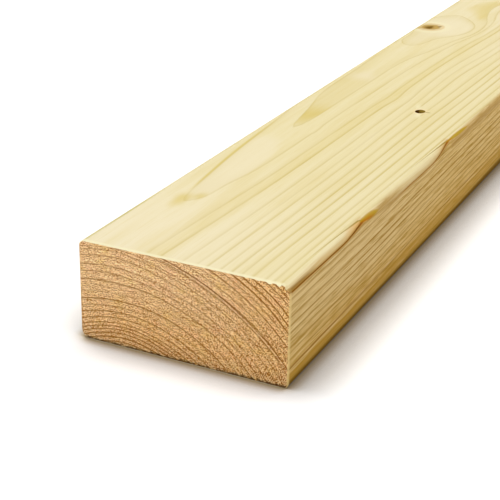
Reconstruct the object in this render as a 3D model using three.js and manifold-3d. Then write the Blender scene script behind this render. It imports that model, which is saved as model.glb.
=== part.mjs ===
// One length of regularised softwood stock, 47 x 100 mm, cut square at both ends.
// The length runs along X, the width along Y and the thickness along Z. The origin is
// the middle of the underside. The front end is the one that faces -X, and left and
// right are as seen from there: left is +Y and right is -Y.

import * as THREE from "three";
import { mergeVertices } from "three/addons/utils/BufferGeometryUtils.js";
import Module from "manifold-3d";

// Stock size, in millimetres.
const LENGTH = 2400;
const WIDTH = 100;
const THICKNESS = 47;

// Radius of each long arris. The planer took the four off unevenly.
const ARRIS_TOP_LEFT = 3;
const ARRIS_TOP_RIGHT = 4.2;
const ARRIS_BOTTOM_RIGHT = 2;
const ARRIS_BOTTOM_LEFT = 4.5;
const ARRIS_SEGMENTS = 10;

// Pin-knot hole: an oval mouth in the top face that narrows to a blunt bottom. The
// dead branch that left it leans towards the front end as it goes down.
const PIN_FROM_FRONT = 245;
const PIN_FROM_LEFT = 68.5;
const PIN_LENGTH = 6.4;
const PIN_WIDTH = 5.2;
const PIN_DEPTH = 7;
const PIN_BOTTOM_SHARE = 0.4;
const PIN_LEAN_DEGREES = 12;
const PIN_SEGMENTS = 28;

// Ring shake: a hairline split that follows one growth ring across the front end. The
// centre of its arc lies outside the piece, below its left part.
const SHAKE_CENTRE_FROM_LEFT = 6;
const SHAKE_CENTRE_BELOW = 73.9;
const SHAKE_RADIUS = 125.7;
const SHAKE_WIDTH = 0.35;
const SHAKE_DEPTH = 5;
const SHAKE_SEGMENTS = 240;

// The wood left whole between the ends of the shake and the faces of the stock.
const SHAKE_STOP = 1.2;

// How far a cutting shape runs past the face that it opens.
const OVERRUN = 2;

const WOOD_COLOUR = 0xe0cb96;
const WOOD_ROUGHNESS = 0.65;

const FRONT_X = -LENGTH / 2;
const LEFT_Y = WIDTH / 2;
const FULL_TURN = 2 * Math.PI;

const wasm = await Module();
wasm.setup();

function solidOf(geometry) {
  const bare = geometry.clone();
  bare.deleteAttribute("normal");
  bare.deleteAttribute("uv");
  const merged = mergeVertices(bare);
  return new wasm.Manifold(new wasm.Mesh({
    numProp: 3,
    vertProperties: merged.attributes.position.array,
    triVerts: new Uint32Array(merged.index.array),
  }));
}

function geometryOf(solid) {
  const mesh = solid.getMesh();
  const geometry = new THREE.BufferGeometry();
  geometry.setAttribute("position", new THREE.BufferAttribute(mesh.vertProperties, 3));
  geometry.setIndex(new THREE.BufferAttribute(mesh.triVerts, 1));
  const faceted = geometry.toNonIndexed();
  faceted.computeVertexNormals();
  return faceted;
}

// Carries a shape drawn across (its x) and up (its y) along the stock, from startX.
function extrudeAlongX(shape, startX, length, curveSegments) {
  const geometry = new THREE.ExtrudeGeometry(shape, {
    depth: length,
    bevelEnabled: false,
    curveSegments,
  });
  const across = new THREE.Vector3(0, 1, 0);
  const up = new THREE.Vector3(0, 0, 1);
  const along = new THREE.Vector3(1, 0, 0);
  geometry.applyMatrix4(new THREE.Matrix4().makeBasis(across, up, along));
  geometry.translate(startX, 0, 0);
  return geometry;
}

// The section of the stock: four flat faces joined by four eased arrises.
function stockSection() {
  const quarter = Math.PI / 2;
  const right = LEFT_Y - WIDTH;
  const section = new THREE.Shape();
  section.moveTo(right + ARRIS_BOTTOM_RIGHT, 0);
  section.lineTo(LEFT_Y - ARRIS_BOTTOM_LEFT, 0);
  section.absarc(LEFT_Y - ARRIS_BOTTOM_LEFT, ARRIS_BOTTOM_LEFT, ARRIS_BOTTOM_LEFT, -quarter, 0);
  section.lineTo(LEFT_Y, THICKNESS - ARRIS_TOP_LEFT);
  section.absarc(LEFT_Y - ARRIS_TOP_LEFT, THICKNESS - ARRIS_TOP_LEFT, ARRIS_TOP_LEFT, 0, quarter);
  section.lineTo(right + ARRIS_TOP_RIGHT, THICKNESS);
  section.absarc(
    right + ARRIS_TOP_RIGHT, THICKNESS - ARRIS_TOP_RIGHT, ARRIS_TOP_RIGHT, quarter, 2 * quarter,
  );
  section.lineTo(right, ARRIS_BOTTOM_RIGHT);
  section.absarc(
    right + ARRIS_BOTTOM_RIGHT, ARRIS_BOTTOM_RIGHT, ARRIS_BOTTOM_RIGHT, 2 * quarter, 3 * quarter,
  );
  return section;
}

// The tapered oval plug that the pin-knot hole is cut with.
function pinHoleCutter() {
  const mouth = PIN_LENGTH / 2;
  const bottom = mouth * PIN_BOTTOM_SHARE;
  const taper = (mouth - bottom) / (PIN_DEPTH - bottom);
  const profile = new THREE.Path();
  profile.moveTo(0, -PIN_DEPTH);
  profile.absarc(0, bottom - PIN_DEPTH, bottom, -Math.PI / 2, 0);
  profile.lineTo(mouth + OVERRUN * taper, OVERRUN);
  profile.lineTo(0, OVERRUN);
  const plug = new THREE.LatheGeometry(profile.getPoints(6), PIN_SEGMENTS);
  plug.rotateX(Math.PI / 2);
  plug.scale(1, PIN_WIDTH / PIN_LENGTH, 1);
  plug.rotateY(THREE.MathUtils.degToRad(PIN_LEAN_DEGREES));
  plug.translate(FRONT_X + PIN_FROM_FRONT, LEFT_Y - PIN_FROM_LEFT, THICKNESS);
  return solidOf(plug);
}

// The thin curved slot of the ring shake: a ring, kept only where it crosses the end.
function shakeCutter() {
  const centreY = LEFT_Y - SHAKE_CENTRE_FROM_LEFT;
  const outer = SHAKE_RADIUS + SHAKE_WIDTH / 2;
  const inner = SHAKE_RADIUS - SHAKE_WIDTH / 2;
  const ring = new THREE.Shape();
  ring.absarc(centreY, -SHAKE_CENTRE_BELOW, outer, 0, FULL_TURN);
  const middle = new THREE.Path();
  middle.absarc(centreY, -SHAKE_CENTRE_BELOW, inner, 0, FULL_TURN);
  ring.holes.push(middle);
  const slotLength = OVERRUN + SHAKE_DEPTH;
  const slot = extrudeAlongX(ring, FRONT_X - OVERRUN, slotLength, SHAKE_SEGMENTS);

  const endFace = new THREE.BoxGeometry(
    2 * slotLength, WIDTH - 2 * SHAKE_STOP, THICKNESS - 2 * SHAKE_STOP,
  );
  endFace.translate(FRONT_X, LEFT_Y - WIDTH / 2, THICKNESS / 2);
  return solidOf(slot).intersect(solidOf(endFace));
}

const stock = solidOf(extrudeAlongX(stockSection(), FRONT_X, LENGTH, ARRIS_SEGMENTS));
const cut = stock.subtract(pinHoleCutter()).subtract(shakeCutter());

const wood = new THREE.MeshStandardMaterial({
  color: WOOD_COLOUR,
  roughness: WOOD_ROUGHNESS,
  metalness: 0,
});

const plank = new THREE.Mesh(geometryOf(cut), wood);
plank.name = "plank";

const part = new THREE.Group();
part.add(plank);

export default part;
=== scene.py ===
"""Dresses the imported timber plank: one detailed mesh of planed, regularised softwood stands for
the CAD solid, with procedural wood on its planed faces and on its sawn ends."""

import math

import bpy
import numpy as np
from mathutils import Color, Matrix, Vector, noise
from mathutils.geometry import delaunay_2d_cdt


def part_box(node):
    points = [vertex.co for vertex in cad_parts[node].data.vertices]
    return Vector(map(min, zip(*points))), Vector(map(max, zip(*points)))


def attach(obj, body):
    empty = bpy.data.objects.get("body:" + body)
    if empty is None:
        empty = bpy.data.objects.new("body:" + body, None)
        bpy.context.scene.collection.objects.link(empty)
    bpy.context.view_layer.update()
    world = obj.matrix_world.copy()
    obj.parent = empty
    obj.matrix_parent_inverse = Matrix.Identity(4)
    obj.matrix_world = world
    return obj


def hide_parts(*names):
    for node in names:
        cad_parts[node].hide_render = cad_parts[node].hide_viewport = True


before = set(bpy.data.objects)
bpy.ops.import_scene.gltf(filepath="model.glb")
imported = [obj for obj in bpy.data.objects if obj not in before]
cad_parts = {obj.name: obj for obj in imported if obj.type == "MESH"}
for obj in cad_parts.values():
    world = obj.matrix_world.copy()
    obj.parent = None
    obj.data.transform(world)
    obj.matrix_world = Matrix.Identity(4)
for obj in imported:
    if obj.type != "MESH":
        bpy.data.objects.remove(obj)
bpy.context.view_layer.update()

# Places on the wood are in millimetres: along from the front end, across from the left side as
# seen from the front, and up from the underside.
MM = 0.001
LOW, HIGH = (np.array(corner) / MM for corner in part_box("plank"))
LENGTH, WIDTH, THICKNESS = HIGH - LOW


# -------- growth rings

# The pith runs under the piece. The tree tapers towards the far end of the plank.
PITH_ACROSS = 21.3
PITH_UP = -49.0
TAPER = 0.0102

# The growth rings as (radius from the pith, darkness of the late wood), inner to outer.
RINGS = (
    (50.9, 0.60), (52.9, 0.72), (54.8, 0.66), (56.5, 0.60), (58.1, 0.62), (59.7, 0.56),
    (62.3, 0.54), (65.4, 0.60), (68.1, 0.34), (71.4, 0.62), (74.6, 0.24), (77.0, 0.12),
    (79.0, 0.56), (82.0, 0.42), (84.5, 0.42), (88.3, 0.42), (90.95, 0.40), (92.2, 0.36),
    (95.0, 0.42), (96.7, 0.70), (99.8, 0.40), (102.2, 0.20), (104.1, 0.62), (106.8, 0.42),
    (109.2, 0.92), (111.6, 0.86), (114.3, 0.92), (117.4, 0.60), (119.6, 0.74), (121.5, 0.60),
    (123.8, 0.70), (126.2, 0.60),
)  # fmt: skip

# Rings inside those, which only the far end reaches. Their darkness swings round a middle value.
INNER_RINGS = 12
INNER_RING_WIDTH = 2.9
INNER_DARKNESS = 0.4
INNER_DARKNESS_SWING = 0.2
INNER_DARKNESS_TURN = 2.3

# Sectors where the rings are flatter than circles: by how much, the angles from straight up, in
# degrees, over which that comes in, and the radii over which it comes in or goes.
FLATTENINGS = (
    (3.3, (19, -4), [(70, 92)]),
    (1.1, (27, 47), [(66, 82), (106, 96)]),
)

# Swellings of the growth layers, or hollows where the height is negative: (centre, spread, height),
# with centres and spreads along, across and up.
SWELLINGS = (
    ((438, 32, 47), (26, 14, 30), 4.2),
    ((390, 4, 47), (20, 24, 30), 1.6),
    ((440, 2, 47), (34, 14, 30), 2.5),
    ((515, 18, 47), (35, 22, 30), -2.2),
    ((468, 46, 47), (24, 9, 30), 1.1),
    ((186, 29.5, 47), (6, 5, 10), 0.25),
    ((115, 31, 47), (45, 8, 12), 0.7),
    ((74, 24, 47), (13, 4, 10), 0.2),
    ((125, 4, 47), (50, 6, 10), 0.14),
    ((170, 30, 47), (35, 5, 12), 0.3),
    ((90, 50, 47), (110, 10, 10), 0.8),
    ((225, 70, 47), (60, 13, 20), -0.8),
    ((25, 84, 47), (35, 10, 5), -0.4),
    ((255, 24, 47), (45, 6, 12), -0.38),
    ((255, 4, 47), (45, 6, 12), 0.5),
    ((335, 24, 47), (60, 10, 20), -1.1),
    ((325, 61, 47), (55, 12, 15), -1.7),
    ((262, 50, 47), (14, 8, 15), 0.5),
    ((0, 20, 31), (90, 12, 9), -0.85),
    ((0, 24, 8), (90, 13, 9), 0.85),
    ((120, 104, 29), (260, 10, 9), -1.15),
    ((85, 100, 22), (50, 14, 22), -0.8),
)

# The step over which the slope of the growth layers is measured, and the least slant that counts.
SLANT_STEP = 1.0
LEAST_SLANT = 0.03


def smooth(low, high, value):
    """0 below low and 1 above high, with a smooth rise between them."""
    share = np.clip((value - low) / (high - low), 0, 1)
    return share * share * (3 - 2 * share)


def growth_radius(along, across, up):
    """The radius of the growth layer that passes through a place."""
    right, rise = across - PITH_ACROSS, up - PITH_UP
    radius = np.hypot(right, rise)
    turn = np.degrees(np.arctan2(right, rise))
    layer = radius - TAPER * along
    for depth, turns, spans in FLATTENINGS:
        flattening = depth * smooth(*turns, turn)
        for span in spans:
            flattening = flattening * smooth(*span, radius)
        layer = layer - flattening
    for middle, reach, height in SWELLINGS:
        shares = zip((along, across, up), middle, reach)
        away = sum(((place - centre) / spread) ** 2 for place, centre, spread in shares)
        layer = layer - height * np.exp(-away)
    return layer


def ring_table():
    """The radius and the darkness of every ring, inner to outer."""
    steps = np.arange(INNER_RINGS)
    radii, darkness = np.array(RINGS).T
    inner = radii[0] + (steps - INNER_RINGS) * INNER_RING_WIDTH
    inner_darkness = INNER_DARKNESS + INNER_DARKNESS_SWING * np.sin(INNER_DARKNESS_TURN * steps)
    return np.concatenate([inner, radii]), np.concatenate([inner_darkness, darkness])


def ring_fields(along, across, up):
    """The ring count at a place, the width of its ring and the darkness of the nearest late wood."""
    radii, darkness = ring_table()
    layer = growth_radius(along, across, up)
    count = np.interp(layer, radii, np.arange(len(radii)))
    width = np.diff(radii)[np.clip(count.astype(int), 0, len(radii) - 2)]
    return count, width, darkness[np.rint(count).astype(int)]


def ring_slant(places, normals):
    """How steeply the growth layers cut the surface: 1 where they stand square to it and near 0
    where they lie along it."""
    steps = np.eye(3) * SLANT_STEP
    rises = [growth_radius(*(places + step).T) - growth_radius(*(places - step).T) for step in steps]
    slopes = np.stack(rises, axis=-1) / (2 * SLANT_STEP)
    out = (slopes * normals).sum(axis=1, keepdims=True)
    return np.maximum(np.linalg.norm(slopes - out * normals, axis=1), LEAST_SLANT)


# -------- the shape

# Pin-knot hole in the top face, as the CAD plank has it.
PIN_ALONG = 245.0
PIN_ACROSS = 68.5
PIN_LENGTH = 6.4
PIN_WIDTH = 5.2

# Rings of its wall, as (depth, share of the mouth, shift along, shift across). It leans to the
# front left on its way down, and it is uneven by waves, as (share of its radius, waves round it,
# turn in radians). The top is cut round a collar, which is wider than the mouth by this factor.
PIN_WALL = (
    (0.0, 1.0, 0.0, 0.0),
    (0.25, 0.93, -0.05, 0.0),
    (0.9, 0.72, -0.2, -0.45),
    (2.4, 0.58, -0.5, -0.75),
    (4.6, 0.40, -0.95, -0.85),
    (6.3, 0.18, -1.3, -0.9),
)
PIN_WAVES = ((0.05, 2, 0.6), (0.04, 3, 2))
PIN_BOTTOM_DROP = 0.3
PIN_SEGMENTS = 36
PIN_MARGIN = 1.6
PIN_COLLAR = 1.35

# Ring shake across the front end, as the CAD plank has it.
SHAKE_ACROSS = 6.0
SHAKE_UP = -73.9
SHAKE_RADIUS = 125.7
SHAKE_WIDTH = 0.35
SHAKE_DEPTH = 5.0
SHAKE_STOP = 1.2
SHAKE_STEP = 0.5
SHAKE_BLUNTNESS = 0.4
SHAKE_UNEVENNESS = 0.25
SHAKE_WAVES = 60

# Knot in the top face, near the left arris.
KNOT_ALONG = 434.5
KNOT_ACROSS = 10.0
KNOT_HALVES = (9.0, 7.5)
KNOT_HOLLOW = 0.22
KNOT_HOLLOW_EDGE = (1.0, 0.35)

# Tongues of lifted grain on the top right arris. Girth is measured round the section, from the top
# of the right side onto the top. The lip is a tongue's lower edge, which rises from one girth to
# another between two places along. The crest is its upper edge: (girth near the tip, fall on the
# way there, length of the bend down to the lip at the tip). Past the tip lies a lens of amber wood:
# (end, girth, half width, share of it that is orange). Strength is how far a tongue's colours show.
TONGUES = (
    {
        "start": (-60, -30), "tip": 82.0, "lip_rise": (55, 88), "lip_girth": (1.0, 3.4),
        "crest": (4.5, 0.053, 3.5), "lens": (101.5, 3.0, 1.35, 0.8), "strength": 1.0,
    },
    {
        "start": (100, 150), "tip": 206.0, "lip_rise": (172, 213), "lip_girth": (0.3, 4.7),
        "crest": (4.7, 0.037, 4.0), "lens": (241.0, 3.9, 0.9, 0.3), "strength": 0.4,
    },
)  # fmt: skip
TONGUE_STEP = 0.25
LIP_EDGE = (0.1, -0.35)
LIP_FADE = 1.4

# A girth far from every tongue, for the places that aren't on the long faces.
FAR = 60.0

# Splinters torn from the top edge of the front end: (girth, half width, depth, length).
SPLINTERS = (
    (11.7, 1.3, 0.8, 1.6),
    (7.4, 1.1, 1.0, 2.2),
    (3.5, 1.0, 0.9, 1.8),
    (16.8, 0.8, 0.3, 1.0),
    (22.5, 0.7, 0.25, 0.9),
)
END_EASING = 0.3
SAW_RELIEF = 0.12
SAW_GRAIN = 1.6
FRONT_END_SPACING = 0.62
FAR_END_SPACING = 1.2

# Spacing of the mesh round the section. It is finest where the tongues' lips run: on the top right
# arris and in a zone below it.
UNDERSIDE_SPACING = 1.5
RIGHT_SPACING = 0.8
LIP_SPACING = 0.27
LIP_ZONE = 4
TOP_SPACING = 0.75
LEFT_SPACING = 1.0
ARRIS_SPACING = 0.5
HIDDEN_ARRIS_SPACING = 0.6

# Spans along the plank, as (start, spacing of the sections). They are finest where the front edge is
# torn, at the tips of the tongues and at the knot.
SPANS = (
    (0.7, 0.45), (4, 2), (20, 4), (60, 2), (104, 6), (190, 3), (238, 5), (253, 6.4),
    (KNOT_ALONG - 12.5, 1.6), (KNOT_ALONG + 13.5, 7.5), (640, 26), (LENGTH - 10, 2.5),
)  # fmt: skip

# How near two measures count as equal: on the CAD plank's mesh, and on this one.
TOUCH = 0.01
NEARNESS = 1e-6
SHARP_DEGREES = 40

OUTER_FACE, END_FACE = 0, 1
FACE_CORNERS = ((0, 0), (1, 0), (1, 1), (0, 1))


def arris_radii():
    """Radii of the CAD plank's long arrises: bottom right, top right, top left, bottom left."""
    places = np.array([vertex.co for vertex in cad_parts["plank"].data.vertices]) / MM
    right = places[places[:, 1] < LOW[1] + TOUCH, 2]
    left = places[places[:, 1] > HIGH[1] - TOUCH, 2]
    return right.min() - LOW[2], HIGH[2] - right.max(), HIGH[2] - left.max(), left.min() - LOW[2]


def spaced(start, stop, step):
    """Even places from start up to, but not including, stop, about step apart."""
    return np.linspace(start, stop, max(1, round(abs(stop - start) / step)), endpoint=False)


class Outline:
    """The section as seen from the front, walked anticlockwise from the middle of the underside:
    places across and up, the way out at each, the length walked so far, and the girth."""

    def __init__(self):
        self.rows = []
        low_right, top_right, top_left, low_left = arris_radii()
        middle = WIDTH / 2
        top = THICKNESS - top_right
        lip_zone = top - LIP_ZONE
        self.flat((middle, 0), (WIDTH - low_right, 0), (0, -1), UNDERSIDE_SPACING)
        self.arris(WIDTH - low_right, low_right, low_right, -90, ARRIS_SPACING)
        self.flat((WIDTH, low_right), (WIDTH, lip_zone), (1, 0), RIGHT_SPACING)
        self.flat((WIDTH, lip_zone), (WIDTH, top), (1, 0), LIP_SPACING)
        right_top = len(self.rows)
        self.arris(WIDTH - top_right, top, top_right, 0, LIP_SPACING)
        self.flat((WIDTH - top_right, THICKNESS), (top_left, THICKNESS), (0, 1), TOP_SPACING)
        self.arris(top_left, THICKNESS - top_left, top_left, 90, ARRIS_SPACING)
        self.flat((0, THICKNESS - top_left), (0, low_left), (-1, 0), LEFT_SPACING)
        self.arris(low_left, low_left, low_left, 180, HIDDEN_ARRIS_SPACING)
        self.flat((low_left, 0), (middle, 0), (0, -1), UNDERSIDE_SPACING)
        self.across, self.up, self.out_across, self.out_up = np.array(self.rows).T
        steps = np.hypot(np.diff(self.across, append=middle), np.diff(self.up, append=0.0))
        self.walked = np.concatenate([[0.0], np.cumsum(steps)])
        self.girth = self.walked[:-1] - self.walked[right_top]
        self.on_top = self.up >= THICKNESS - NEARNESS

    def flat(self, start, stop, out, step):
        for share in spaced(0, 1, step / math.dist(start, stop)):
            place = [a + (b - a) * share for a, b in zip(start, stop)]
            self.rows.append((*place, *out))

    def arris(self, centre_across, centre_up, radius, start_degrees, step):
        quarter = math.pi / 2
        for turn in math.radians(start_degrees) + spaced(0, quarter, step / radius):
            out = math.cos(turn), math.sin(turn)
            self.rows.append((centre_across + radius * out[0], centre_up + radius * out[1], *out))


def stations():
    """Places along the plank where the section is repeated."""
    starts, steps = zip(*SPANS)
    stops = (*starts[1:], LENGTH - END_EASING)
    parts = [spaced(*span) for span in zip(starts, stops, steps)]
    return np.concatenate([[0.0, END_EASING], *parts, [stops[-1], LENGTH]])


def lip_girth(tongue, along):
    """The girth of a tongue's lip at a place along."""
    low, high = tongue["lip_girth"]
    return low + (high - low) * smooth(*tongue["lip_rise"], along)


def tongue_fields(along, girth):
    """Of the nearest tongue: the girth past its lip and past its crest, how far it is there, from 0
    to 1, the distance along past its tip, and the strength of its colours."""
    fields = []
    for tongue in TONGUES:
        tip = tongue["tip"]
        crest_girth, fall, bend = tongue["crest"]
        lip_at_tip = lip_girth(tongue, tip)
        back = np.clip(tip - along, 0, None)
        crest = lip_at_tip + (crest_girth + fall * back - lip_at_tip) * smooth(0, bend, back)
        there = smooth(*tongue["start"], along) * smooth(tip + 2, tip - 1, along)
        past_lip = girth - lip_girth(tongue, along)
        fields.append((past_lip, girth - crest, there, along - tip, tongue["strength"]))
    second = along > (TONGUES[0]["lens"][0] + TONGUES[1]["start"][0]) / 2
    return [np.where(second, after, before) for before, after in zip(*fields)]


def sunk(along, girth):
    """How far the surface is sunk below the tongues' lips and at the front edge's splinters."""
    lip, _, there, _, _ = tongue_fields(along, girth)
    depth = there * TONGUE_STEP * smooth(*LIP_EDGE, lip) * np.exp(np.minimum(lip, 0) / LIP_FADE)
    for centre, half_width, torn, length in SPLINTERS:
        across = np.clip(1 - ((girth - centre) / half_width) ** 2, 0, 1)
        depth = depth + torn * across * np.clip(1 - along / length, 0, 1)
    return depth


def knot_relief(along, across):
    """How far the top is sunk at the knot, which shrank more than the wood round it."""
    reach = np.hypot((along - KNOT_ALONG) / KNOT_HALVES[0], (across - KNOT_ACROSS) / KNOT_HALVES[1])
    return KNOT_HOLLOW * smooth(*KNOT_HOLLOW_EDGE, reach)


class Shell:
    """The mesh of the plank while it is put together."""

    def __init__(self, outline, places_along):
        self.outline = outline
        self.stations = places_along
        self.faces = []
        self.materials = []
        self.corner_maps = []
        self.columns = len(outline.across)
        along, girth = np.meshgrid(places_along, outline.girth, indexing="ij")
        eased = (along <= 0) | (along >= LENGTH)
        depth = sunk(along, girth) + END_EASING * eased
        depth = depth + outline.on_top * knot_relief(along, outline.across)
        across = outline.across - depth * outline.out_across
        up = outline.up - depth * outline.out_up
        self.places = [np.stack([along, across, up], axis=-1).reshape(-1, 3)]
        self.girths = [girth.ravel()]
        self.count = girth.size
        self.window = self.pin_window()
        self.tube()

    def index(self, station, column):
        return station * self.columns + column % self.columns

    def add_places(self, places):
        """Adds places far from every tongue, and gives the index of the first."""
        first = self.count
        self.places.append(places)
        self.girths.append(np.full(len(places), FAR))
        self.count += len(places)
        return first

    def add_faces(self, faces, maps, material):
        self.faces += faces
        self.corner_maps += maps
        self.materials += [material] * len(faces)

    def pin_window(self):
        """Stations and columns of the patch of the top face that the pin hole is cut in."""
        reach_along = PIN_LENGTH / 2 + PIN_MARGIN
        reach_across = PIN_WIDTH / 2 + PIN_MARGIN
        near = np.flatnonzero(np.abs(self.stations - PIN_ALONG) < reach_along)
        close = np.abs(self.outline.across - PIN_ACROSS) < reach_across
        columns = np.flatnonzero(self.outline.on_top & close)
        return near[0] - 1, near[-1] + 1, columns[0] - 1, columns[-1] + 1

    def tube(self):
        """The planed faces, as rows of four-sided faces, apart from the window."""
        first, last, left, right = self.window
        for station in range(len(self.stations) - 1):
            for column in range(self.columns):
                if first <= station < last and left <= column < right:
                    continue
                corners = [(station + s, column + c) for s, c in FACE_CORNERS]
                face = [self.index(*corner) for corner in corners]
                face_map = [long_map(self.stations[s], self.outline.walked[c]) for s, c in corners]
                self.add_faces([face], [face_map], OUTER_FACE)

    def all_places(self):
        return np.concatenate(self.places)


# -------- bake map

# The long faces share one strip of the map, half of it for the front part, with the ends above it.
FRONT_PART = 600.0
FRONT_SHARE = 0.52
STRIP_HEIGHT = 0.76
MAP_MARGIN = 0.005
END_SCALE = 0.0046
FAR_END_PLACE = 0.5


def long_map(along, walked):
    """Where a place on the long faces lies in the bake map."""
    if along < FRONT_PART:
        across = along / FRONT_PART * FRONT_SHARE
    else:
        across = FRONT_SHARE + (along - FRONT_PART) / (LENGTH - FRONT_PART) * (1 - FRONT_SHARE)
    girth = walked / (2 * (WIDTH + THICKNESS))
    return MAP_MARGIN + across * (1 - 2 * MAP_MARGIN), MAP_MARGIN + girth * STRIP_HEIGHT


def end_map(across, up, far):
    """Where a place on the front end, or on the far one, lies in the bake map."""
    start = 2 * MAP_MARGIN + FAR_END_PLACE * far
    return start + across * END_SCALE, STRIP_HEIGHT + 3 * MAP_MARGIN + up * END_SCALE


# -------- ends and holes

# The kind of triangulation that keeps what is inside the border, and how clear of the border and
# the lines a filling keeps, as a share of its spacing.
CDT_INSIDE = 1
FILL_CLEARANCE = 0.6


def chain(first, count, closed):
    """Edges that join count places in order, from index first."""
    edges = [(first + k, first + k + 1) for k in range(count - 1)]
    return edges + [(first + count - 1, first)] * closed


def triangulate(places, edges):
    """Anticlockwise triangles over flat places that keep every edge."""
    points = [Vector(place) for place in places]
    _, _, faces, origins, _, _ = delaunay_2d_cdt(points, edges, [], CDT_INSIDE, NEARNESS)
    triangles = []
    for face in faces:
        a, b, c = (origins[corner][0] for corner in face)
        turn = (points[b] - points[a]).cross(points[c] - points[a])
        triangles.append((a, b, c) if turn > 0 else (a, c, b))
    return triangles


def inside(places, border):
    """Which places lie inside a closed border."""
    across, up = places[:, :1], places[:, 1:]
    (start, low), (stop, high) = border.T, np.roll(border, -1, axis=0).T
    spans = (low > up) != (high > up)
    rise = np.where(high == low, 1, high - low)
    crossing = start + (up - low) * (stop - start) / rise
    return (spans & (across < crossing)).sum(axis=1) % 2 == 1


def filling(border, lines, step):
    """A grid of places inside a border that keeps clear of it and of some lines."""
    low, high = border.min(axis=0), border.max(axis=0)
    grid = np.meshgrid(np.arange(low[0], high[0], step), np.arange(low[1], high[1], step))
    places = np.stack(grid, axis=-1).reshape(-1, 2)
    places = places[inside(places, border)]
    for line in (border, *lines):
        gap = np.hypot(*(places[:, None, :] - line[None, :, :]).transpose(2, 0, 1))
        places = places[gap.min(axis=1) > FILL_CLEARANCE * step]
    return places


def shake_lines():
    """The shake's two edges and its bottom on the front end, and how deep their places are. The
    lines meet at its tips, which only the first of them keeps."""
    start = math.acos((WIDTH - SHAKE_STOP - SHAKE_ACROSS) / SHAKE_RADIUS)
    stop = math.asin((THICKNESS - SHAKE_STOP - SHAKE_UP) / SHAKE_RADIUS)
    turns = np.linspace(start, stop, round((stop - start) * SHAKE_RADIUS / SHAKE_STEP))
    openness = np.sin(np.linspace(0, math.pi, len(turns))) ** SHAKE_BLUNTNESS
    unevenness = 1 - SHAKE_UNEVENNESS + SHAKE_UNEVENNESS * np.sin(turns * SHAKE_WAVES)
    half = SHAKE_WIDTH / 2 * openness * unevenness
    lines, depths = [], []
    for radius, depth in ((SHAKE_RADIUS + half, 0), (SHAKE_RADIUS - half, 0), (SHAKE_RADIUS, SHAKE_DEPTH)):
        across, up = SHAKE_ACROSS + radius * np.cos(turns), SHAKE_UP + radius * np.sin(turns)
        kept = slice(1, -1) if lines else slice(None)
        lines.append(np.column_stack([across, up])[kept])
        depths.append((depth * openness)[kept])
    return lines, depths


def shake_edges(lines, first):
    """Edges along the shake's lines and from their ends to its tips, by index from first."""
    stops = (first + np.cumsum([len(line) for line in lines])).tolist()
    starts = [first, *stops[:-1]]
    edges = [edge for start, line in zip(starts, lines) for edge in chain(start, len(line), False)]
    for start, stop in zip(starts[1:], stops[1:]):
        edges += [(first, start), (stop - 1, stops[0] - 1)]
    return edges


def saw_relief(across, up):
    """How far the sawn face lies below the plane of the cut: 0 to SAW_RELIEF."""
    spot = Vector((across / SAW_GRAIN, up / SAW_GRAIN, 0))
    return SAW_RELIEF * (1 + noise.noise(spot)) / 2


def add_end(shell, station, spacing, lines, depths):
    """Closes one end of the tube with a sawn face, split open along some lines."""
    far = station > 0
    ring = shell.columns
    border = shell.places[0].reshape(-1, ring, 3)[station][:, 1:]
    fill = filling(border, lines, spacing)
    relief = np.array([saw_relief(*place) for place in fill])
    flat = np.concatenate([border, *lines, fill])
    below = np.concatenate([np.zeros(ring), *depths, relief])
    places = np.column_stack([abs(far * LENGTH - below), flat])
    first = shell.add_places(places[ring:]) - ring
    base = shell.index(station, 0)
    faces, maps = [], []
    for triangle in triangulate(flat, chain(0, ring, True) + shake_edges(lines, ring)):
        corners = triangle[::-1] if far else triangle
        faces.append([corner + (base if corner < ring else first) for corner in corners])
        maps.append([end_map(*flat[corner], far) for corner in corners])
    shell.add_faces(faces, maps, END_FACE)


def pin_rings():
    """Rings of places down the wall of the pin hole, each as (along, across, up)."""
    turns = np.linspace(0, 2 * math.pi, PIN_SEGMENTS, endpoint=False)
    uneven = 1 + sum(share * np.sin(waves * turns + turn) for share, waves, turn in PIN_WAVES)
    rings = []
    for depth, share, shift_along, shift_across in PIN_WALL:
        along = PIN_ALONG + shift_along + PIN_LENGTH / 2 * share * uneven * np.cos(turns)
        across = PIN_ACROSS + shift_across + PIN_WIDTH / 2 * share * uneven * np.sin(turns)
        rings.append(np.column_stack([along, across, np.full_like(turns, THICKNESS - depth)]))
    return rings


def window_border(shell):
    """Indices of the places round the window, walked once round it."""
    first, last, left, right = shell.window
    walk = [(first, c) for c in range(left, right)] + [(s, right) for s in range(first, last)]
    walk += [(last, c) for c in range(right, left, -1)] + [(s, left) for s in range(last, first, -1)]
    return [shell.index(*corner) for corner in walk]


def pin_wall(starts, tip):
    """Faces between the rings of the hole's wall, whose first places are given, down to its tip."""
    steps = [(k, (k + 1) % PIN_SEGMENTS) for k in range(PIN_SEGMENTS)]
    faces = []
    for upper, lower in zip(starts, starts[1:]):
        faces += [[upper + k, lower + k, lower + after, upper + after] for k, after in steps]
    return faces + [[starts[-1] + k, tip, starts[-1] + after] for k, after in steps]


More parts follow.
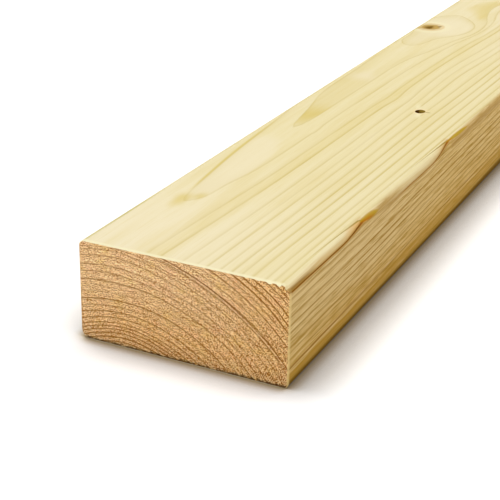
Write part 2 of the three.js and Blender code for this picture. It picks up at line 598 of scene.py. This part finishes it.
def add_pin_hole(shell):
    """Fills the window in the top face with the wood round the pin hole and the hole's wall."""
    around = window_border(shell)
    border = shell.places[0][around][:, :2]
    rings = pin_rings()
    mouth = rings[0][:, :2]
    middle = np.array([PIN_ALONG, PIN_ACROSS])
    collar = middle + PIN_COLLAR * (mouth - middle)
    flat = np.concatenate([border, mouth, collar])
    edges = chain(0, len(border), True) + chain(len(border), PIN_SEGMENTS, True)
    on_top = np.column_stack([flat[len(border):], np.full(2 * PIN_SEGMENTS, THICKNESS)])
    bottom = rings[-1].mean(axis=0) - [0, 0, PIN_BOTTOM_DROP]
    start = shell.add_places(np.concatenate([on_top, *rings[1:], [bottom]]))
    indices = around + list(range(start, start + len(on_top)))
    faces = []
    for triangle in triangulate(flat, edges):
        centre = flat[list(triangle)].mean(axis=0)[None, :]
        if not inside(centre, mouth)[0]:
            faces.append([indices[corner] for corner in triangle[::-1]])
    lower_rings = range(start + len(on_top), shell.count - 1, PIN_SEGMENTS)
    faces += pin_wall([start, *lower_rings], shell.count - 1)
    known = shell.all_places()
    top_start = shell.outline.walked[shell.window[2]] + shell.outline.across[shell.window[2]]
    maps = [[long_map(known[v][0], top_start - known[v][1]) for v in face] for face in faces]
    shell.add_faces(faces, maps, OUTER_FACE)


# -------- the object


# The fields on the mesh that its materials read.
RING_FIELDS = ("ring", "ring_width", "late_wood", "slant")
TONGUE_FIELDS = ("girth", "lip", "crest", "tongue", "past_tip", "strength")


def add_object(name, data):
    made = bpy.data.objects.new(name, data)
    bpy.context.scene.collection.objects.link(made)
    return made


def build_plank(materials):
    """The plank as one mesh object."""
    places_along = stations()
    shell = Shell(Outline(), places_along)
    add_end(shell, 0, FRONT_END_SPACING, *shake_lines())
    add_end(shell, len(places_along) - 1, FAR_END_SPACING, [], [])
    add_pin_hole(shell)

    along, across, up = shell.all_places().T
    mesh = bpy.data.meshes.new("plank_timber")
    world = np.column_stack([LOW[0] + along, HIGH[1] - across, LOW[2] + up]) * MM
    mesh.from_pydata(world.tolist(), [], shell.faces)
    mesh.polygons.foreach_set("material_index", shell.materials)
    layer = mesh.uv_layers.new(name="OFBake")
    layer.data.foreach_set("uv", np.array([uv for face in shell.corner_maps for uv in face]).ravel())
    for material in materials:
        mesh.materials.append(material)

    normals = np.empty(3 * len(along), np.float32)
    mesh.vertex_normals.foreach_get("vector", normals)
    slant = ring_slant(shell.all_places(), normals.reshape(-1, 3) * (1, -1, 1))
    girth = np.concatenate(shell.girths)
    fields = (*ring_fields(along, across, up), slant, girth, *tongue_fields(along, girth))
    for name, values in zip(RING_FIELDS + TONGUE_FIELDS, fields):
        layer = mesh.attributes.new(name, "FLOAT", "POINT")
        layer.data.foreach_set("value", values.astype(np.float32))
    mesh.shade_smooth()
    mesh.set_sharp_from_angle(angle=math.radians(SHARP_DEGREES))
    mesh.validate()
    return add_object("plank_timber", mesh)


# -------- materials


def srgb(*channels):
    """A colour as a screen shows it, 0 to 255, in linear light."""
    screen = Color([channel / 255 for channel in channels])
    return (*screen.from_srgb_to_scene_linear(), 1.0)


def feed(target, value):
    """Gives an input its value, or links a Wire to it."""
    if isinstance(value, Wire):
        value.tree.links.new(value.socket, target)
    else:
        target.default_value = value


def add_node(tree, kind, inputs=(), **settings):
    """A new shader node. Its inputs are given in their order, or by name or number."""
    node = tree.nodes.new("ShaderNode" + kind)
    for name, value in settings.items():
        setattr(node, name, value)
    for place, value in inputs.items() if isinstance(inputs, dict) else enumerate(inputs):
        feed(node.inputs[place], value)
    return node


def operation(kind):
    """A method of Wire that adds a Math node of this kind."""
    return lambda wire, *others: wire.math(kind, wire, *others)


class Wire:
    """A value that varies over a surface: an output of a node. Arithmetic on it adds Math nodes."""

    def __init__(self, node, output=0):
        self.tree = node.id_data
        self.socket = node.outputs[output]

    def math(self, kind, *values):
        return Wire(add_node(self.tree, "Math", values, operation=kind))

    def __rsub__(self, other):
        return self.math("SUBTRACT", other, self)

    __add__ = __radd__ = operation("ADD")
    __sub__ = operation("SUBTRACT")
    __mul__ = operation("MULTIPLY")
    __truediv__ = operation("DIVIDE")
    __pow__ = operation("POWER")
    larger = operation("MAXIMUM")
    smaller = operation("MINIMUM")
    size = operation("ABSOLUTE")
    share = operation("FRACT")
    angle = operation("ARCTAN2")

    def rise(self, low, high):
        """0 at low and 1 at high, smooth between and level beyond, whichever of them is larger."""
        inputs = (self, low, high, 0.0, 1.0)
        return Wire(add_node(self.tree, "MapRange", inputs, interpolation_type="SMOOTHSTEP"))

    def band(self, centre, outer, inner):
        """1 within the inner distance of a centre and 0 past the outer one, smooth between."""
        return (self - centre).size().rise(outer, inner)


DRY_WOOD_SPECULAR = 0.03
NOISE_ROUGHNESS = 0.55

# Sockets of the Mix node when it mixes colours.
MIX_AMOUNT, MIX_UNDER, MIX_OVER, MIX_RESULT = 0, 6, 7, 2

# Streaks of noise along the grain: (length, thickness, detail, seed).
STREAKS = {
    "fine": (18, 0.5, 2, 0),
    "bands": (70, 2.4, 1, 4.4),
    "broad": (140, 6, 1, 8.8),
    "shading": (90, 9, 1, 0),
    "rings": (60, 3, 1, 7.3),
    "arches": (25, 3, 2, 6.1),
    "foot": (80, 4, 1, 5.5),
    "arris": (22, 0.8, 2, 2.2),
    "knot": (6, 4, 2, 9.1),
    "relief": (40, 1.2, 1, 3.1),
    "roughness": (30, 1, 1, 1.7),
}


class Finish:
    """A material in the making: its shader, its colour so far and the coordinates, in millimetres."""

    def __init__(self, name, colour):
        self.material = bpy.data.materials.new(name)
        self.material.use_nodes = True
        self.tree = self.material.node_tree
        self.shader = self.tree.nodes["Principled BSDF"]
        self.shader.inputs["Specular IOR Level"].default_value = DRY_WOOD_SPECULAR
        spot = Wire(self.node("TexCoord"), "Object")
        parts = self.node("SeparateXYZ", (spot,))
        x, y, z = (Wire(parts, axis) for axis in "XYZ")
        self.along = x / MM - float(LOW[0])
        self.across = float(HIGH[1]) - y / MM
        self.up = z / MM - float(LOW[2])
        self.colour = colour

    def node(self, kind, inputs=(), **settings):
        return add_node(self.tree, kind, inputs, **settings)

    def field(self, name):
        return Wire(self.node("Attribute", attribute_name=name), "Fac")

    def grain(self, along, across, up, detail):
        """Noise about 0, mostly within half, from places that are divided by its size."""
        place = Wire(self.node("CombineXYZ", (along, across, up)))
        inputs = {"Vector": place, "Scale": 1.0, "Detail": detail, "Roughness": NOISE_ROUGHNESS}
        return Wire(self.node("TexNoise", inputs)) - 0.5

    def streaks(self, name):
        """Noise drawn out along the plank, by its name in STREAKS."""
        length, thickness, detail, seed = STREAKS[name]
        return self.grain(self.along / length + seed, self.across / thickness, self.up / thickness, detail)

    def paint(self, amount, colour, blend="MIX"):
        """Lays a colour over what is there, as far as amount says, 0 to 1."""
        inputs = {MIX_AMOUNT: amount, MIX_UNDER: self.colour, MIX_OVER: colour}
        node = self.node("Mix", inputs, data_type="RGBA", blend_type=blend)
        self.colour = Wire(node, MIX_RESULT)

    def grade(self, amount, dark, light):
        """Lays one colour on where the amount is below 0 and another where it is above."""
        self.paint(amount * -1.0, dark)
        self.paint(amount, light)

    def shade(self, level):
        """Makes what is there lighter or darker, where 1 leaves it as it is."""
        inputs = {0: self.colour, "Scale": level}
        self.colour = Wire(self.node("VectorMath", inputs, operation="SCALE"))

    def oval(self, middle, halves, uneven=0.0):
        """Distance from the middle of an oval on the top, where 1 is its edge, from its middle and
        its half length and half width."""
        along = (self.along - middle[0]) / halves[0]
        across = (self.across - middle[1]) / halves[1]
        return (along * along + across * across) ** 0.5 + uneven

    def finish(self, height, bump_depth, roughness):
        inputs = {"Strength": 1.0, "Distance": bump_depth * MM, "Height": height}
        feed(self.shader.inputs["Base Color"], self.colour)
        feed(self.shader.inputs["Roughness"], roughness)
        feed(self.shader.inputs["Normal"], Wire(self.node("Bump", inputs)))
        return self.material


# The late wood of each face: (soft part, inner edge, outer edge, evenness, slow share).
TOP_RINGS = (0.45, 1.5, 0.5, 0.5, 0.42)
SIDE_RINGS = (0.5, 1.0, 0.5, 0.4, 0.35)
END_RINGS = (0.5, 0.6, 0.3, 1.0, 0.25)


def late_wood(wood, soft_part, inner_edge, outer_edge, evenness, slow_share):
    """Darkness of the growth rings, which builds up through each ring and ends sharply. Its slow
    share comes over the soft part, a share of the ring. The rest comes over the inner edge, and all
    of it goes over the outer edge, in millimetres on the surface. An evenness below 1 brings the
    faint rings nearer to the strong ones."""
    through = wood.field("ring").share()
    width = wood.field("ring_width") / wood.field("slant")
    after = (through * width).rise(outer_edge, 0.0)
    slow = through.rise(1 - soft_part, 1.0).larger(after)
    quick = ((1.0 - through) * width).rise(inner_edge, 0.0).larger(after)
    return (slow * slow_share + quick * (1 - slow_share)) * wood.field("late_wood") ** evenness


TOP_WOOD = srgb(243, 229, 180)
TOP_PALE = srgb(248, 235, 198)
TOP_SHADE = srgb(235, 216, 152)
TOP_LATE = srgb(206, 181, 88)
TOP_GOLD = srgb(230, 208, 126)
LEFT_ARRIS_SHADE = srgb(204, 190, 112)
SIDE_WOOD_AND_WARM_SHADE = srgb(226, 194, 132)
SIDE_LOW = srgb(213, 173, 98)
SIDE_FAR = srgb(222, 183, 104)
SIDE_LATE = srgb(158, 112, 0)
SIDE_DARK = srgb(166, 124, 12)
SIDE_LIGHT = srgb(242, 212, 152)
FOOT_OCHRE = srgb(188, 142, 48)
FOOT_BROWN = srgb(150, 94, 30)
FOOT_CONTACT_SHADOW = srgb(112, 80, 8)
TONGUE_TAN_AND_SHADE = srgb(216, 178, 112)
TONGUE_CORNER_SHADE = srgb(162, 122, 58)
TONGUE_PEACH = srgb(236, 190, 122)
LIP_PALE = srgb(216, 174, 108)
LIP_TIP_SHADOW = srgb(188, 146, 84)
LIP_UNDER_SHADOW = srgb(150, 124, 74)
LIP_BROWN_AND_SHADOW = srgb(132, 82, 4)
LIP_GOLD = srgb(186, 134, 46)
LIP_RED = srgb(180, 106, 26)
CREST_OLIVE = srgb(156, 126, 12)
AMBER = srgb(194, 142, 26)
AMBER_OLIVE = srgb(194, 162, 56)
AMBER_ORANGE = srgb(188, 116, 20)
ARRIS_TAN_AND_SHADE = srgb(186, 148, 84)
KNOT_BROWN = srgb(196, 158, 80)
KNOT_CORE = srgb(116, 84, 10)
KNOT_EDGE = srgb(232, 200, 132)
PIN_BROWN = srgb(142, 116, 42)
PIN_SHADE = srgb(86, 52, 6)
PIN_RIM_HIGHLIGHT = srgb(255, 232, 180)
PALE_EDGE = srgb(253, 243, 200)
SIDE_EDGE_HIGHLIGHT = srgb(240, 208, 140)
END_WOOD = srgb(248, 192, 120)
END_LOW = srgb(240, 176, 96)
END_PINK = srgb(255, 247, 253)
END_GOLD = srgb(253, 253, 230)
END_WARM = srgb(255, 249, 232)
END_LATE = srgb(144, 84, 0)
END_PORE = srgb(136, 68, 0)
END_PALE = srgb(255, 224, 173)
END_FRINGE_SHADOW = srgb(66, 38, 18)
SHAKE_SHADE = srgb(140, 70, 14)

# How deep the bump of each finish is.
PLANED_BUMP = 0.12
SAWN_BUMP = 0.2

# The amber lens starts before the tongue's tip and falls along its length, and keeps some width.
LENS_OVERLAP = 5.0
LENS_FALL = 1.4
LEAST_BULGE = 0.02

# Sizes of the end grain: specks across and along the fibres, coarser patches, layers and rays as
# (round the pith, at a typical radius, and out from it), and patches of tint as (across, up).
SPECK, SPECK_DEPTH = 0.46, 0.5
COARSE = 1.8
LAYERS = (4, 0.45)
RAYS = (0.42, 2.0)
TINT = (8, 6)
TYPICAL_RADIUS = 90.0

# The growth rings whose arches show on the top face, and the one that a golden band follows, by
# their count from the innermost.
FIRST_ARCH = 29.0
SECOND_ARCH = 28.0
KNOT_LOOP = 27.0
GOLDEN_BAND = 30.5

# Where the colours of each arch show, as the middle and the halves of an oval.
FIRST_ARCH_PLACE = ((114, 14), (54, 15))
SECOND_ARCH_PLACE = ((250, 14), (62, 14))
KNOT_LOOP_PLACE = ((430, 10), (56, 36))
PAST_KNOT_PLACE = ((504, 28), (44, 14))

# Ovals on the top face, as (middle, halves): golden blots on the point of the first arch, and the
# dark and brown parts of the knot.
FIRST_ARCH_BLOTS = (((66, 15.0), (6, 4.5)), ((70, 21.5), (5, 3.0)), ((60, 16.0), (8, 4.0)))
KNOT_MIDDLE = (KNOT_ALONG - 1, KNOT_ACROSS - 0.5), (5.5, 3.4)
KNOT_DARK_SIDE = (KNOT_ALONG + 4.5, KNOT_ACROSS + 5), (3.0, 1.8)
KNOT_BROWN_SIDE = (KNOT_ALONG - 6, KNOT_ACROSS - 7), (4.0, 3.0)
PIN_TAIL = (PIN_ALONG + 0.3, PIN_ACROSS + 4.0), (1.1, 2.4)

# Below, what rise and band are given for a coordinate, or for the distance to a line, is in
# millimetres on the wood, and the factors and sums after them say how strongly a colour is laid on.


def planed_faces():
    """The planed long faces."""
    wood = Finish("planed_softwood", TOP_WOOD)
    lifted = wood.field("lip").rise(-0.1, 0.3) * wood.field("girth").rise(12, 9) * wood.field("tongue")
    sideways = side_share(wood) * (1 - lifted * 0.8)
    level = 1 - sideways
    wood.paint(wood.along.rise(150, 10) * wood.across.rise(120, 20), TOP_PALE)
    wood.paint(wood.along.rise(330, 500) * 0.5, TOP_PALE)
    wood.paint(wood.streaks("shading").rise(-0.05, 0.25) * 0.35, TOP_SHADE)
    # Side faces: the wood's own tone, made darker and warmer by painted shade.
    wood.paint(sideways, SIDE_WOOD_AND_WARM_SHADE)
    wood.paint(wood.up.rise(27, 9) * sideways, SIDE_LOW)
    wood.paint(wood.along.rise(70, 220) * sideways * 0.5, SIDE_FAR)
    fine, bands = wood.streaks("fine"), wood.streaks("bands")
    wood.grade((fine * 4 + bands * 0.9) * sideways, SIDE_DARK, SIDE_LIGHT)
    wood.grade((fine * 1.5 + bands * 0.9 + wood.streaks("broad") * 0.5) * level, TOP_SHADE, TOP_PALE)
    paint_arches(wood, level * wood.up.rise(THICKNESS / 3, THICKNESS / 2))
    uneven = 0.85 + wood.streaks("rings") * 0.9
    dark = late_wood(wood, *TOP_RINGS) * (uneven + fine * 0.8)
    wood.paint(dark * level * (wood.along.rise(40, 160) * 0.12 + 0.52), TOP_LATE)
    side_dark = late_wood(wood, *SIDE_RINGS) * (uneven + fine * 2)
    wood.paint(side_dark * sideways * (wood.up.rise(43, 31) * 0.35 + 0.6), SIDE_LATE)
    paint_foot(wood, sideways)
    paint_arris(wood)
    paint_knot(wood)
    paint_pin_hole(wood)
    # Painted shade, olive, along the top left arris where it turns away from the light.
    left_arris = wood.across.rise(3.6, 2.4) * wood.up.rise(THICKNESS - 3, THICKNESS - 1)
    wood.paint(left_arris * (wood.along.rise(85, 50) * 0.5 + uneven * 1.6 - 1.2), LEFT_ARRIS_SHADE)
    near_end = wood.along.rise(2.4, 0.8)
    # Painted highlight along the top edge of the front end, over pale torn fibres.
    wood.paint(near_end * level * wood.across.rise(98.5, 95.5) * 0.9, PALE_EDGE)
    # Painted highlight on the side faces' rounded edge at the front end.
    wood.paint(near_end * sideways * 0.7, SIDE_EDGE_HIGHLIGHT)
    height = fine * 0.35 - dark * 0.6 + wood.streaks("relief") * 0.5
    return wood.finish(height, PLANED_BUMP, wood.streaks("roughness") * 0.12 + 0.68)


def side_share(wood):
    """1 on the two side faces and 0 on the top and the underside, smooth round the arrises."""
    normal = Wire(wood.node("NewGeometry"), "Normal")
    across = Wire(wood.node("SeparateXYZ", (normal,)), "Y")
    return across.size().rise(0.25, 0.9)


def paint_arches(wood, on_top):
    """The growth layers that come up through the top near its left side: pale inside the first arch,
    with gold along its line, golden and then pale inside the second, and pale inside the knot's
    loop, with gold past it. A golden band follows a ring to their right."""
    ring = wood.field("ring")
    uneven = wood.streaks("arches")
    first = wood.oval(*FIRST_ARCH_PLACE, uneven * 0.3).rise(1.1, 0.8)
    wood.paint((FIRST_ARCH - ring).rise(0, 0.15) * first * on_top * 0.6, TOP_PALE)
    beside = (ring - FIRST_ARCH).size() * wood.field("ring_width") / wood.field("slant")
    branch = wood.along.rise(66, 76) * wood.along.rise(215, 140) * wood.across.rise(15, 11)
    wood.paint(beside.rise(1.5, 0.3) * branch * on_top * 0.75, TOP_GOLD)
    for blot in FIRST_ARCH_BLOTS:
        wood.paint(wood.oval(*blot, uneven * 0.8).rise(1.5, 0) * on_top * 0.6, TOP_GOLD)
    second = wood.oval(*SECOND_ARCH_PLACE, uneven * 0.4).rise(1.1, 0.7)
    golden = (SECOND_ARCH - ring).rise(-0.02, 0.03) * second * (uneven * 0.8 + 1)
    wood.paint(golden * (wood.along.rise(238, 208) * 0.75 + 0.1) * on_top, TOP_GOLD)
    wood.paint(golden * wood.along.rise(280, 300) * on_top * 0.8, TOP_PALE)
    loop = wood.oval(*KNOT_LOOP_PLACE).rise(1.1, 0.9)
    wood.paint((KNOT_LOOP - ring).rise(0, 0.25) * loop * on_top * 0.6, TOP_PALE)
    within = SECOND_ARCH - ring
    past = wood.oval(*PAST_KNOT_PLACE, uneven * 0.5).rise(1.1, 0.6)
    wood.paint(within.rise(-0.05, 0.1) * within.rise(0.8, 0.3) * past * on_top * 0.6, TOP_GOLD)
    band = (ring + uneven * 0.5).band(GOLDEN_BAND, 0.9, 0.3) * wood.across.rise(10, 30)
    wood.paint(band * on_top * (uneven * 0.5 + 0.3), TOP_GOLD)


def paint_foot(wood, sideways):
    """Ochre wood along the foot of the side faces, deeper near the front end, with painted shade towards
    the floor and a painted contact shadow along the bottom edge.
    """
    edge = (wood.along * 0.02 + 7.4).smaller(12)
    above = wood.up - edge + wood.streaks("foot") * 2.5
    near = wood.along.rise(160, 20)
    wood.paint(above.rise(0, -2.5) * sideways * (near * 0.2 + 0.6), FOOT_OCHRE)
    wood.paint(above.band(1.4, 0.8, 0.1) * sideways * (near * 0.35 + 0.2), FOOT_BROWN)
    wood.paint(above.band(0.3, 0.6, 0.1) * sideways * near * 0.2, SIDE_LIGHT)
    # Painted shade: the side faces darken towards the floor.
    wood.shade(1 - wood.up.rise(6, 0) * sideways * 0.25)
    # Painted contact shadow along the bottom edge of the side faces.
    lowest = wood.up / (wood.along.rise(170, 320) * 0.5 + 1)
    wood.paint(lowest.rise(4, 1.8) * sideways * 0.9, FOOT_CONTACT_SHADOW)


def paint_arris(wood):
    """The lifted tongues of grain on the top right arris, with their amber tips, and painted shade on the
    arris and under the lips.
    """
    girth, lip, crest, there, past_tip, strength = (wood.field(name) for name in TONGUE_FIELDS)
    uneven = wood.streaks("arris")
    near_tip = past_tip.rise(-24, -5)
    above = lip.rise(-0.15, 0.15)
    # Tan on the tongue towards its lip: partly the lifted grain's tone and partly painted shade where the
    # arris rounds over.
    tan = (lip + uneven * 3).rise(4.1, 0.4) * (strength * 0.45 + 0.43)
    wood.paint(above * tan * there, TONGUE_TAN_AND_SHADE)
    # Painted shade, brown, on the rounding near the front corner.
    wood.paint(above * (lip + uneven).rise(2.6, 1.3) * wood.along.rise(32, 12) * 0.9, TONGUE_CORNER_SHADE)
    wood.paint(above * crest.rise(0.5, -0.3) * there * near_tip * strength * 0.8, TONGUE_PEACH)
    wood.paint(lip.band(-0.6, 0.6, 0.2) * there * 0.6, LIP_PALE)
    # Painted shadow, tan, below the lip near the tongue's tip.
    wood.paint(lip.rise(-2.2, -0.6) * lip.rise(0.1, -0.1) * there * near_tip * 0.6, LIP_TIP_SHADOW)
    # Painted shadow in a line under the tongue's lip.
    wood.paint(lip.band(-1.25, 0.35, 0.05) * there * (uneven + 0.4), LIP_UNDER_SHADOW)
    line = lip.size() / (near_tip * 0.15 + strength * 0.1 + 0.37)
    wood.paint(line.rise(2.6, 0.8) * there * (uneven + 0.6), LIP_GOLD)
    # The dark line of the lip: the lifted layer's brown edge with painted shadow in the crease under it.
    wood.paint(line.rise(1, 0.4) * there * (strength * 0.4 + 0.65 + uneven * 0.5), LIP_BROWN_AND_SHADOW)
    wood.paint(line.rise(1.4, 0.4) * there * past_tip.rise(-9, -1) * 0.7, LIP_RED)
    crest_line = (crest.size() / (near_tip * 0.3 + 0.38)).rise(1, 0.1) * there
    wood.paint(crest_line * past_tip.rise(-66, -12) * (uneven * 0.8 + 0.75), CREST_OLIVE)
    # On the arris past the tongues: a brownish tinge and painted shade where it rounds over.
    bare = girth.rise(-1.5, 0.8) * girth.rise(6, 1.5) * wood.along.rise(90, 112) * (1 - there)
    wood.paint(bare * (uneven * 1.2 + 0.7), ARRIS_TAN_AND_SHADE)
    for tongue in TONGUES:
        paint_lens(wood, girth + uneven * 0.6, tongue)


def paint_lens(wood, girth, tongue):
    """The amber wood past the tip of a tongue: olive above, orange below and by the tip."""
    start = tongue["tip"] - LENS_OVERLAP
    end, lens_girth, half, orange_end = tongue["lens"]
    share = (wood.along - start) / (end - start)
    bulge = (share * (1 - share) * 4).larger(LEAST_BULGE)
    lens = (girth - (lens_girth + (0.5 - share) * LENS_FALL)) / (bulge * half)
    within = lens.size().rise(1.5, 0.3) * share.rise(0, 0.12) * share.rise(1, 0.7)
    orange = share.rise(orange_end, orange_end / 2)
    wood.paint(within * 0.95, AMBER)
    wood.paint(within * lens.rise(0.1, 0.9).larger(1 - orange) * 0.8, AMBER_OLIVE)
    wood.paint(within * lens.rise(0.2, -0.6) * orange * 0.9, AMBER_ORANGE)


def paint_knot(wood):
    """The knot near the left arris: golden brown, dark in its middle, with a pale ring round it."""
    uneven = wood.streaks("knot")
    reach = wood.oval((KNOT_ALONG, KNOT_ACROSS), KNOT_HALVES, uneven * 0.35)
    on_top = wood.up.rise(THICKNESS - 5, THICKNESS - 1)
    wood.paint(reach.band(1.5, 0.6, 0.1) * on_top * 0.4, PALE_EDGE)
    wood.paint(reach.band(1.1, 0.25, 0.05) * on_top * 0.6, KNOT_EDGE)
    wood.paint(reach.rise(1.05, 0.7) * on_top * 0.95, KNOT_BROWN)
    wood.paint(wood.oval(*KNOT_MIDDLE, uneven * 1.4).rise(1.2, 0.3) * on_top * 0.95, KNOT_CORE)
    wood.paint(wood.oval(*KNOT_DARK_SIDE, uneven).rise(1.2, 0.2) * on_top * 0.7, KNOT_CORE)
    wood.paint(wood.oval(*KNOT_BROWN_SIDE, uneven).rise(1.2, 0.3) * on_top * 0.6, KNOT_BROWN)


def paint_pin_hole(wood):
    """The pin-knot hole: painted shade inside it, lighter and brown at its far right, with a brown tail
    there, a painted highlight round its rim and a pale streak through it."""
    near = wood.up.rise(THICKNESS - 9, THICKNESS - 8)
    along, across = wood.along - PIN_ALONG, wood.across - PIN_ACROSS
    reach = wood.oval((PIN_ALONG, PIN_ACROSS), (PIN_LENGTH / 2, PIN_WIDTH / 2))
    streak = (along * 0.32 + (across + 1) * 0.95).size()
    wood.paint(streak.rise(2.4, 0.4) * along.size().rise(17, 6) * near * 0.6, PALE_EDGE)
    # Painted highlight round the rim of the hole.
    wood.paint(reach.rise(2.2, 1.1) * near * 0.7, PIN_RIM_HIGHLIGHT)
    # Painted shade inside the hole, lighter and brown at its far right.
    within = reach.rise(1.16, 1.02) * near
    wood.paint(within, PIN_SHADE)
    right = along / PIN_LENGTH + across / PIN_WIDTH
    wood.paint(within * right.rise(-0.1, 0.25), PIN_BROWN)
    wood.paint(wood.oval(*PIN_TAIL).rise(1.2, 0.3) * reach.rise(0.98, 1.05) * near * 0.5, PIN_BROWN)


def sawn_ends():
    """The sawn ends, where the rings show as arcs."""
    wood = Finish("sawn_end_grain", END_WOOD)
    # Darker and more orange towards the bottom: partly the end grain's tone and partly painted shade.
    wood.paint(wood.up.rise(34, 4), END_LOW)
    across, up, along = wood.across, wood.up, wood.along
    right, rise = across - PITH_ACROSS, up - PITH_UP
    arc, radius = right.angle(rise) * TYPICAL_RADIUS, (right * right + rise * rise) ** 0.5
    speck = wood.grain(across / SPECK, up / SPECK, along / SPECK_DEPTH, 0)
    coarse = wood.grain(across / COARSE, up / COARSE, along / COARSE, 1)
    layers = wood.grain(arc / LAYERS[0], radius / LAYERS[1], along, 0)
    rays = wood.grain(arc / RAYS[0], radius / RAYS[1], along, 0)
    tint = wood.grain(across / TINT[0], up / TINT[1], along / TINT[0], 2)
    corner = across.rise(40, 80) * up.rise(36, 14)
    grain = speck * (17 - corner * 4) + layers * (2 + corner * 2) + rays * (1.5 + corner * 5)
    wood.grade(grain * 0.8 + 0.38, END_PORE, END_PALE)
    wood.paint(tint.rise(0, -0.3), END_GOLD, "MULTIPLY")
    wood.paint(tint.rise(0, 0.3), END_PINK, "MULTIPLY")
    low = up.rise(40, 4) * across.rise(-15, 35)
    wood.paint(low.larger(across.rise(55, 95)), END_WARM, "MULTIPLY")
    dark = late_wood(wood, *END_RINGS)
    wood.paint(dark * (1.15 + speck * 3.5 + rays * 1.5 + coarse * 0.6), END_LATE)
    # Painted shade: the end is darker towards its bottom, where the floor's shadow reaches, and towards
    # its right side.
    wood.shade(up.rise(-1, 12) * 0.18 + up.rise(16, 42) * 0.12 + across.rise(100, 5) * 0.09 + 0.81)
    paint_shake(wood)
    # Painted shadow along the foot of the end, ragged like the sawn fibres there.
    wood.paint((up + coarse * 3 + speck * 2).rise(1.9, 0.6) * 0.9, END_FRINGE_SHADOW)
    height = speck + coarse * 0.6 - dark * 0.4
    return wood.finish(height, SAWN_BUMP, coarse * 0.1 + 0.78)


def paint_shake(wood):
    """The inside of the ring shake at the front end, brown with painted shade, and the pale and brown
    lines along its inner lip. Its turns are radians round the centre of its arc."""
    right, rise = wood.across - SHAKE_ACROSS, wood.up - SHAKE_UP
    off = (right * right + rise * rise) ** 0.5 - SHAKE_RADIUS
    turn = rise.angle(right)
    extent = turn.rise(0.70, 0.78) * turn.rise(1.34, 1.26) * wood.along.rise(40, 20)
    uneven = wood.grain(turn * SHAKE_WAVES, off / 2, wood.along, 1) + 0.5
    wood.paint(off.band(-0.75, 0.35, 0.1) * extent * uneven * 0.5, END_PALE)
    wood.paint(off.band(-1.3, 0.4, 0.1) * extent * (1 - uneven), END_LATE)
    # Painted shade, brown, in the shake.
    wood.paint(off.size().rise(0.4, 0.15) * extent * (uneven * 0.8 + 0.1), SHAKE_SHADE)


# -------- setting

CAMERA_PLACE = (-1.63303, -0.23951, 0.26957)
CAMERA_TURN_DEGREES = (66.336, -1.061, -63.897)
CAMERA_LENS = 94.29
SENSOR = 36.0

# Light from the sky, and two broad lamps as (irradiance, spread and turn in degrees). One is above
# and behind the plank, and the other faces its visible end and side.
SKY_LEVEL = 0.5
LAMPS = {
    "softbox_above": (1.28, 28, (-18, 5, 0)),
    "softbox_front": (0.90, 40, (72, 0, -52)),
}

FLOOR_SIZE = 30.0
FLOOR_BOUNCE = 0.72
FLOOR_SEEN = 1.25
FLOOR_LIFT = 0.05
# Reach of the painted contact shade on the floor, in metres.
CONTACT_REACH = 0.03
AO_SAMPLES = 8

# Painted shadow: right beside the plank the floor loses these shares of red, green and blue.
EDGE_SHADOW_REACH = 0.007
EDGE_SHADOW_LOSS = (0.45, 0.62, 0.85)


def add_camera():
    """A camera at the photograph's viewpoint."""
    data = bpy.data.cameras.new("camera")
    data.sensor_width = SENSOR
    data.lens = CAMERA_LENS
    camera = add_object("camera", data)
    camera.location = CAMERA_PLACE
    camera.rotation_euler = [math.radians(turn) for turn in CAMERA_TURN_DEGREES]
    bpy.context.scene.camera = camera


def seen_ray(tree):
    """1 for the light rays that show a surface."""
    paths = add_node(tree, "LightPath")
    seen = Wire(paths, "Is Camera Ray").larger(Wire(paths, "Is Glossy Ray"))
    return seen.larger(Wire(paths, "Is Transmission Ray"))


def add_sky():
    """Soft white light from all round, which shows as plain white."""
    world = bpy.data.worlds.new("studio")
    world.use_nodes = True
    tree = world.node_tree
    background = tree.nodes["Background"]
    background.inputs["Color"].default_value = (1, 1, 1, 1)
    feed(background.inputs["Strength"], seen_ray(tree) * (1 - SKY_LEVEL) + SKY_LEVEL)
    bpy.context.scene.world = world


def add_lamps():
    for name, (strength, spread, turn) in LAMPS.items():
        data = bpy.data.lights.new(name, "SUN")
        data.energy = strength
        data.angle = math.radians(spread)
        add_object(name, data).rotation_euler = [math.radians(degrees) for degrees in turn]


def openness(tree, reach):
    """1 in the open and less beside the plank, within a reach in metres, for painted shade on the floor.
    """
    return Wire(add_node(tree, "AmbientOcclusion", {"Distance": reach}, samples=AO_SAMPLES), "AO")


def floor_material():
    """A floor that shows white apart from the plank's shadow, which painted shade deepens close beside the
    plank.
    """
    material = bpy.data.materials.new("floor_white")
    material.use_nodes = True
    tree = material.node_tree
    tree.nodes.remove(tree.nodes["Principled BSDF"])
    seen = seen_ray(tree)
    contact, near = (openness(tree, reach) for reach in (CONTACT_REACH, EDGE_SHADOW_REACH))
    close = near.rise(1.0, 0.5)
    shown = [contact * (1.0 - close * lost) * FLOOR_SEEN for lost in EDGE_SHADOW_LOSS]
    channels = [seen * (level - FLOOR_BOUNCE) + FLOOR_BOUNCE for level in shown]
    colour = Wire(add_node(tree, "CombineColor", channels))
    diffuse = Wire(add_node(tree, "BsdfDiffuse", (colour,)))
    glow = Wire(add_node(tree, "Emission", {"Strength": seen * FLOOR_LIFT}))
    both = Wire(add_node(tree, "AddShader", (diffuse, glow)))
    feed(tree.nodes["Material Output"].inputs["Surface"], both)
    return material


def add_floor():
    half = FLOOR_SIZE / 2
    corners = [(-half, -half, 0), (half, -half, 0), (half, half, 0), (-half, half, 0)]
    mesh = bpy.data.meshes.new("floor")
    mesh.from_pydata(corners, [], [(0, 1, 2, 3)])
    mesh.materials.append(floor_material())
    floor = add_object("floor", mesh)


def main():
    bpy.context.scene.view_settings.view_transform = "Standard"
    add_camera()
    add_sky()
    add_lamps()
    add_floor()
    plank = build_plank([planed_faces(), sawn_ends()])
    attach(plank, "root")
    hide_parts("plank")


main()
